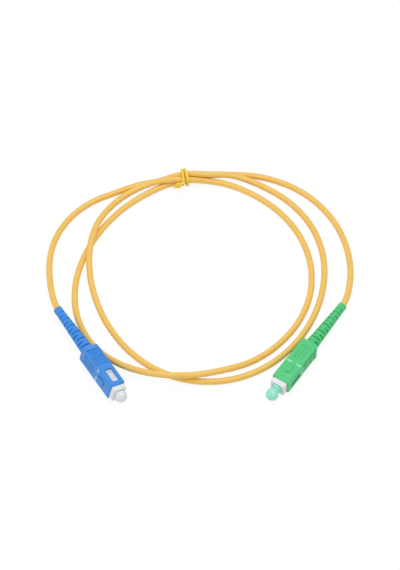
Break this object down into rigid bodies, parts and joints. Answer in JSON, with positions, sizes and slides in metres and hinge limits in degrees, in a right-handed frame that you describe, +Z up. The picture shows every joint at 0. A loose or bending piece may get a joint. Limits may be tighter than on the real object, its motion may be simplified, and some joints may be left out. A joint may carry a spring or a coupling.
{
  "type": "fiber optic patch cord",
  "caption": "Coiled single-fibre patch cord with a square push-pull connector, sliding grip, strain-relief boot and dust cap at each end, gathered by a wire tie.",
  "frame": {"origin": "on the surface that the cord lies on, under the middle of the box round the connectors and tie", "axes": "+Z up; the tie lies towards +Y, the connectors' caps towards -Y, the blue end at -X and the green end at +X"},
  "size_m": [0.1454, 0.1345, 0.0104],
  "materials": {
    "jacket": "smooth extruded PVC jacket, satin gloss, yellow",
    "aramid": "aramid strength yarn",
    "fibre_buffer": "tight nylon buffer over the glass fibre",
    "tie_coat": "yellow PVC coated tie",
    "tie_core": "soft iron tie wire",
    "housing_blue": "moulded PBT, satin, blue",
    "housing_green": "moulded PBT, satin, green",
    "boot_blue": "moulded soft thermoplastic, blue",
    "boot_green": "moulded soft thermoplastic, green",
    "frame_white": "moulded PBT, white",
    "cap_milky": "soft moulded cap, milky white",
    "cap_green": "soft moulded cap, translucent green",
    "ceramic": "polished zirconia ceramic",
    "plated_brass": "nickel-plated brass",
    "spring_steel": "stainless spring wire",
    "crimp_metal": "drawn and annealed crimp sleeve"
  },
  "bodies": {
    "main": {"jacket": "jacket", "aramid_yarn": "aramid", "buffered_fibre": "fibre_buffer", "twist_tie": "tie_coat", "tie_wire": "tie_core", "plug_frame_a": "frame_white", "back_post_a": "plated_brass", "crimp_sleeve_a": "crimp_metal", "boot_a": "boot_blue", "spring_a": "spring_steel", "plug_frame_b": "frame_white", "back_post_b": "plated_brass", "crimp_sleeve_b": "crimp_metal", "boot_b": "boot_green", "spring_b": "spring_steel"},
    "grip_body_a": {"grip_a": "housing_blue"},
    "ferrule_body_a": {"ferrule_a": "ceramic", "ferrule_flange_a": "plated_brass"},
    "cap_body_a": {"dust_cap_a": "cap_milky"},
    "grip_body_b": {"grip_b": "housing_green"},
    "ferrule_body_b": {"ferrule_b": "ceramic", "ferrule_flange_b": "plated_brass"},
    "cap_body_b": {"dust_cap_b": "cap_green"}
  },
  "joints": [
    {"name": "grip_slide_a", "type": "slide", "parent": "main", "child": "grip_body_a", "axis": [0.5358, -0.8443, 0], "range_m": [-0.002, 0]},
    {"name": "ferrule_float_a", "type": "slide", "parent": "main", "child": "ferrule_body_a", "axis": [0.5358, -0.8443, 0], "range_m": [-0.001, 0], "stiffness_N_per_m": 2000, "springref_m": 0.004, "deforming": ["spring_a"]},
    {"name": "cap_pull_a", "type": "slide", "parent": "main", "child": "cap_body_a", "axis": [0.5358, -0.8443, 0], "range_m": [0, 0.012]},
    {"name": "grip_slide_b", "type": "slide", "parent": "main", "child": "grip_body_b", "axis": [-0.5678, -0.8231, 0], "range_m": [-0.002, 0]},
    {"name": "ferrule_float_b", "type": "slide", "parent": "main", "child": "ferrule_body_b", "axis": [-0.5678, -0.8231, 0], "range_m": [-0.001, 0], "stiffness_N_per_m": 2000, "springref_m": 0.004, "deforming": ["spring_b"]},
    {"name": "cap_pull_b", "type": "slide", "parent": "main", "child": "cap_body_b", "axis": [-0.5678, -0.8231, 0], "range_m": [0, 0.012]}
  ]
}
